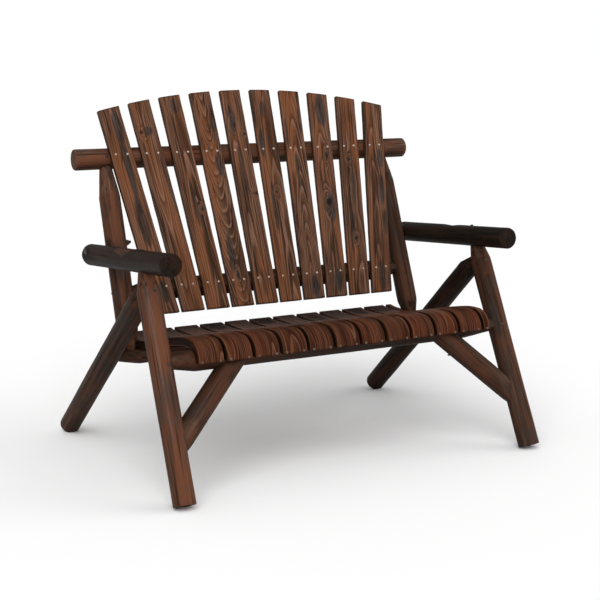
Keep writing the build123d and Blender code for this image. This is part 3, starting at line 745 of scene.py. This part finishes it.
def seat_place(middle_x):
    """How a seat slat maps its own length, width and depth on to the seat."""
    def place(along, across, deep):
        along = min(max(along, 0.0), SEAT_ALONG[-1])
        row = next(i for i in range(1, len(SEAT_ALONG)) if SEAT_ALONG[i] >= along)
        t = (along - SEAT_ALONG[row - 1]) / (SEAT_ALONG[row] - SEAT_ALONG[row - 1])
        y, z, inward_y, inward_z = (blend(a, b, t) for a, b in zip(SEAT_PATH[row - 1], SEAT_PATH[row]))
        return Vector((middle_x + across, y + inward_y * deep, z + inward_z * deep)) + SHIFT

    return place


# where the tree's heart runs under each seat slat, the filler last
SEAT_PITHS = [(0.030, 0.020, 0.02), (-0.024, 0.026, -0.03), (0.018, 0.018, 0.03), (0.0, 0.060, 0.02),
              (-0.030, 0.022, 0.03), (0.022, 0.020, -0.02), (-0.016, 0.024, 0.03), (0.026, 0.022, 0.02),
              (-0.022, 0.018, -0.03), (0.012, 0.024, 0.03), (0.028, 0.026, 0.02), (0.0, 0.030, 0.02)]
SEAT_MARKS = [[("char", 0.55, -0.3, 0.10, 0.014)], [("knot", 0.80, 0.3, 0.014, 0.009)],
              [("char", 0.35, 0.5, 0.08, 0.012)], [("char", 0.93, 0.0, 0.06, 0.040)],
              [("char", 0.30, -0.4, 0.07, 0.010)], [("char", 0.93, 0.0, 0.05, 0.040)],
              [("knot", 0.30, 0.1, 0.014, 0.008)], [("char", 0.88, 0.0, 0.06, 0.030)],
              [("char", 0.40, 0.4, 0.10, 0.010)], [("char", 0.92, 0.0, 0.06, 0.030)],
              [("char", 0.25, 0.2, 0.09, 0.012), ("char", 0.93, 0.0, 0.06, 0.040)], []]
for index in range(SEAT_SLATS):
    board(f"seat_slat_{index + 1:02d}", SEAT_ALONG[-1], lambda t: SEAT_SLAT_W, SEAT_THICK, SEAT_SLAT_EDGE,
          seat_place(SEAT_FIRST_X + index * SEAT_PITCH), SEAT_PITHS[index], SEAT_MARKS[index],
          seat_wood, 51 + index, SEAT_END_DARK)

# the filler isn't cut round the back post as its CAD solid is, and runs into it
filler_low, filler_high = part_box("seat_slat_filler")
filler_width = filler_high.x - filler_low.x
board("seat_slat_filler", SEAT_ALONG[-1], lambda t: filler_width, SEAT_THICK, SEAT_SLAT_EDGE,
      seat_place((filler_low.x + filler_high.x) / 2), SEAT_PITHS[-1], SEAT_MARKS[-1],
      seat_wood, 62, SEAT_END_DARK)

batten_low, batten_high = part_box("rear_seat_batten")
batten_size = batten_high - batten_low
board("rear_seat_batten", batten_size.x, lambda t: batten_size.y, batten_size.z, BATTEN_EDGE,
      lambda along, across, deep: Vector((batten_low.x + along, (batten_low.y + batten_high.y) / 2 + across,
                                          batten_high.z - deep)),
      (0.01, 0.03, 0.02), [], seat_wood, 71, BACK_END_DARK)

# ---------------------------------------------------------------- floor, light and camera
FLOOR_HALF = 30.0
floor_mesh = bpy.data.meshes.new("floor")
floor_mesh.from_pydata([(-FLOOR_HALF, -FLOOR_HALF, 0), (FLOOR_HALF, -FLOOR_HALF, 0),
                        (FLOOR_HALF, FLOOR_HALF, 0), (-FLOOR_HALF, FLOOR_HALF, 0)], [], [(0, 1, 2, 3)])
floor = bpy.data.objects.new("floor", floor_mesh)
scene.collection.objects.link(floor)
floor_look = bpy.data.materials.new("pale_floor")
floor_look.use_nodes = True
floor_shader = floor_look.node_tree.nodes["Principled BSDF"]
floor_shader.inputs["Base Color"].default_value = (0.97, 0.97, 0.97, 1.0)
floor_shader.inputs["Roughness"].default_value = 0.95
floor_shader.inputs["Specular IOR Level"].default_value = 0.1
floor_mesh.materials.append(floor_look)
floor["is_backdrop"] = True

STUDIO_FILL = 0.62           # how bright the studio's walls are as a light
STUDIO_WALL = 1.02           # and as the background
world = bpy.data.worlds.new("studio")
world.use_nodes = True
world_nodes = world.node_tree.nodes
world_nodes["Background"].inputs["Color"].default_value = (1.0, 1.0, 1.0, 1.0)
seen_directly = world_nodes.new("ShaderNodeLightPath").outputs["Is Camera Ray"]
wall = world_nodes.new("ShaderNodeMapRange")
wall.inputs["To Min"].default_value = STUDIO_FILL
wall.inputs["To Max"].default_value = STUDIO_WALL
world.node_tree.links.new(seen_directly, wall.inputs["Value"])
world.node_tree.links.new(wall.outputs["Result"], world_nodes["Background"].inputs["Strength"])
scene.world = world
scene.view_settings.view_transform = "Standard"


def soft_light(name, towards, spread, strength):
    """A large soft light far away in the direction towards, spread degrees across."""
    data = bpy.data.lights.new(name, "SUN")
    data.angle = math.radians(spread)
    data.energy = strength
    lamp = bpy.data.objects.new(name, data)
    lamp.rotation_euler = Vector(towards).to_track_quat("Z", "Y").to_euler()
    scene.collection.objects.link(lamp)


soft_light("key", (-0.55, -0.75, 0.85), 50, 1.6)
soft_light("side", (0.9, -0.35, 0.45), 40, 0.7)

AZIMUTH, ELEVATION = math.radians(-29.39), math.radians(10.28)
DISTANCE = 3.591
LENS = 80.455                # millimetres, on a 36 mm sensor
TARGET = Vector((-0.0650, -0.1444, 0.4322))
back = Vector((math.sin(AZIMUTH) * math.cos(ELEVATION), -math.cos(AZIMUTH) * math.cos(ELEVATION),
               math.sin(ELEVATION)))
camera_data = bpy.data.cameras.new("camera")
camera_data.sensor_width = 36.0
camera_data.lens = LENS
camera_data.clip_end = 200.0
camera = bpy.data.objects.new("camera", camera_data)
camera.location = TARGET + back * DISTANCE
camera.rotation_euler = (-back).to_track_quat("-Z", "Y").to_euler()
scene.collection.objects.link(camera)
scene.camera = camera

low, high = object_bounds()
{"cad": [list(cad_low), list(cad_high)], "visual": [list(low), list(high)]}
